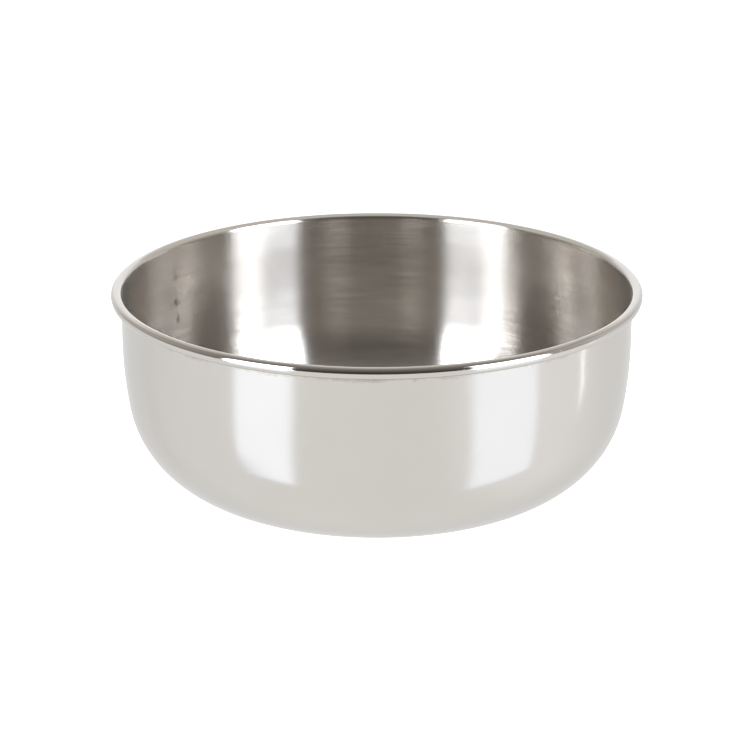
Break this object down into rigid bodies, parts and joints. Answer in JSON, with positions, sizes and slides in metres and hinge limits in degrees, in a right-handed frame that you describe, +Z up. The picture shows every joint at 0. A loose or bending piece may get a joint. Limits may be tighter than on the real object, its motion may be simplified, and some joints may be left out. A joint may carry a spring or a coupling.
{
  "type": "mixing bowl",
  "caption": "Round deep-drawn steel mixing bowl with a flat stand, a rounded corner, an upright wall and a curled bead rim; holds ingredients while they are stirred, whisked or kneaded.",
  "frame": {"origin": "centre of the circle that the bowl stands on, in the plane of the surface under it", "axes": "+Z up along the bowl's axis of symmetry; X and Y are any two horizontal directions, because the bowl is round"},
  "size_m": [0.24, 0.24, 0.093],
  "materials": {
    "polished_and_brushed_steel": "mirror-polished outside and on the bead, fine circular brushing on the inside"
  },
  "bodies": {
    "root": {"bowl": "polished_and_brushed_steel"}
  },
  "joints": []
}
